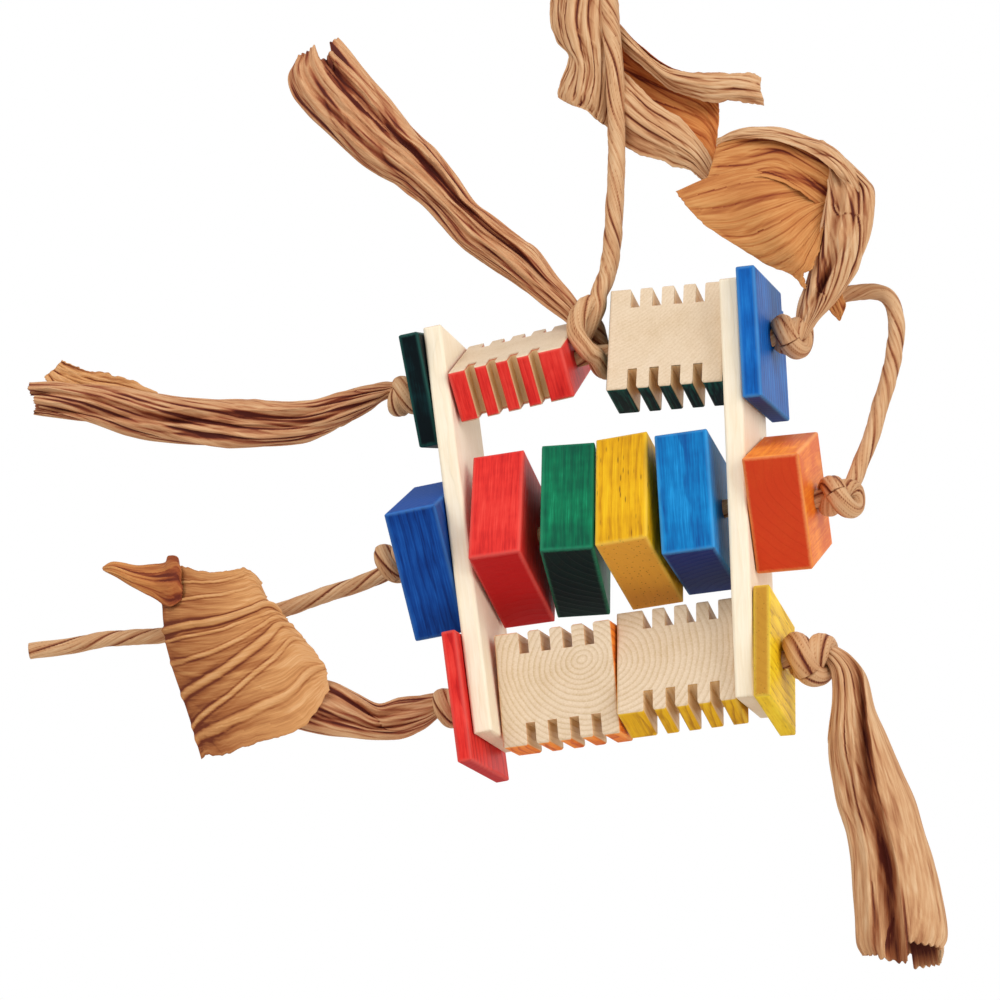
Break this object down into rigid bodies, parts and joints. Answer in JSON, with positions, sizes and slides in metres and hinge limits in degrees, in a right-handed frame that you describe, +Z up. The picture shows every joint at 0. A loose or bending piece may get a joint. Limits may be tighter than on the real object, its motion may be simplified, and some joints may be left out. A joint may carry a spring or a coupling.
{
  "type": "hanging parrot toy",
  "caption": "Hanging parrot chew toy: stained pine blocks, slotted combs and plates threaded in rows on knotted paper cord between two pine bars.",
  "frame": {"origin": "inside the top of the hanging loop, where a hook bears", "axes": "+X along the rows towards the orange end block, +Y away from the viewer, +Z up"},
  "size_m": [0.3323, 0.062, 0.421],
  "materials": {
    "natural_pine": "sawn and tumbled, bare",
    "red_stain": "dyed pine",
    "dark_green_stain": "dyed pine",
    "yellow_stain": "dyed pine",
    "blue_stain": "dyed pine",
    "orange_stain": "dyed pine",
    "kraft_paper": "twisted kraft paper cord, opened and crumpled at its ends"
  },
  "bodies": {
    "frame": {"left_bar": "natural_pine", "right_bar": "natural_pine", "top_cord": "kraft_paper", "middle_cord": "kraft_paper", "bottom_cord": "kraft_paper", "hanging_cord": "kraft_paper"},
    "green_plate_body": {"green_plate": "dark_green_stain"},
    "blue_plate_body": {"blue_plate": "blue_stain"},
    "blue_end_block_body": {"blue_end_block": "blue_stain"},
    "orange_end_block_body": {"orange_end_block": "orange_stain"},
    "red_plate_body": {"red_plate": "red_stain"},
    "yellow_plate_body": {"yellow_plate": "yellow_stain"},
    "red_comb_body": {"red_comb": "red_stain"},
    "green_comb_body": {"green_comb": "dark_green_stain"},
    "orange_comb_body": {"orange_comb": "orange_stain"},
    "yellow_comb_body": {"yellow_comb": "yellow_stain"},
    "red_block_body": {"red_block": "red_stain"},
    "green_block_body": {"green_block": "dark_green_stain"},
    "yellow_block_body": {"yellow_block": "yellow_stain"},
    "blue_block_body": {"blue_block": "blue_stain"}
  },
  "joints": [
    {"name": "green_plate_turn", "type": "hinge", "parent": "frame", "child": "green_plate_body", "pos_m": [-0.0771, 0, -0.1854], "axis": [0.9986, 0, 0.0521], "range_deg": [-30, 30]},
    {"name": "blue_plate_turn", "type": "hinge", "parent": "frame", "child": "blue_plate_body", "pos_m": [0.04485, 0, -0.18538], "axis": [0.9986, 0, -0.0521], "range_deg": [-20, 20]},
    {"name": "blue_end_block_turn", "type": "hinge", "parent": "frame", "child": "blue_end_block_body", "pos_m": [-0.07971, 0, -0.2456], "axis": [0.9986, 0, 0.0521], "range_deg": [-40, 0]},
    {"name": "orange_end_block_turn", "type": "hinge", "parent": "frame", "child": "orange_end_block_body", "pos_m": [0.04821, 0, -0.24563], "axis": [0.9986, 0, -0.0521], "range_deg": [-70, 20]},
    {"name": "red_plate_turn", "type": "hinge", "parent": "frame", "child": "red_plate_body", "pos_m": [-0.07006, 0, -0.30115], "axis": [0.9986, 0, 0.0521], "range_deg": [-3, 3]},
    {"name": "yellow_plate_turn", "type": "hinge", "parent": "frame", "child": "yellow_plate_body", "pos_m": [0.0383, 0, -0.30117], "axis": [0.9986, 0, -0.0521], "range_deg": [-15, 30]},
    {"name": "red_comb_turn", "type": "hinge", "parent": "frame", "child": "red_comb_body", "pos_m": [-0.04412, 0, -0.18321], "axis": [0.9973, 0, 0.0732], "continuous": true},
    {"name": "green_comb_turn", "type": "hinge", "parent": "frame", "child": "green_comb_body", "pos_m": [0.01212, 0, -0.18321], "axis": [0.9973, 0, -0.0732], "continuous": true},
    {"name": "orange_comb_turn", "type": "hinge", "parent": "frame", "child": "orange_comb_body", "pos_m": [-0.0375, 0, -0.30063], "axis": [1, 0, 0], "continuous": true},
    {"name": "yellow_comb_turn", "type": "hinge", "parent": "frame", "child": "yellow_comb_body", "pos_m": [0.0055, 0, -0.30063], "axis": [1, 0, 0], "continuous": true},
    {"name": "red_block_turn", "type": "hinge", "parent": "frame", "child": "red_block_body", "pos_m": [-0.05122, 0, -0.24472], "axis": [1, 0, 0], "continuous": true},
    {"name": "green_block_turn", "type": "hinge", "parent": "frame", "child": "green_block_body", "pos_m": [-0.02834, 0, -0.24472], "axis": [1, 0, 0], "continuous": true},
    {"name": "yellow_block_turn", "type": "hinge", "parent": "frame", "child": "yellow_block_body", "pos_m": [-0.00504, 0, -0.24472], "axis": [1, 0, 0], "continuous": true},
    {"name": "blue_block_turn", "type": "hinge", "parent": "frame", "child": "blue_block_body", "pos_m": [0.01594, 0, -0.24472], "axis": [1, 0, 0], "continuous": true}
  ]
}
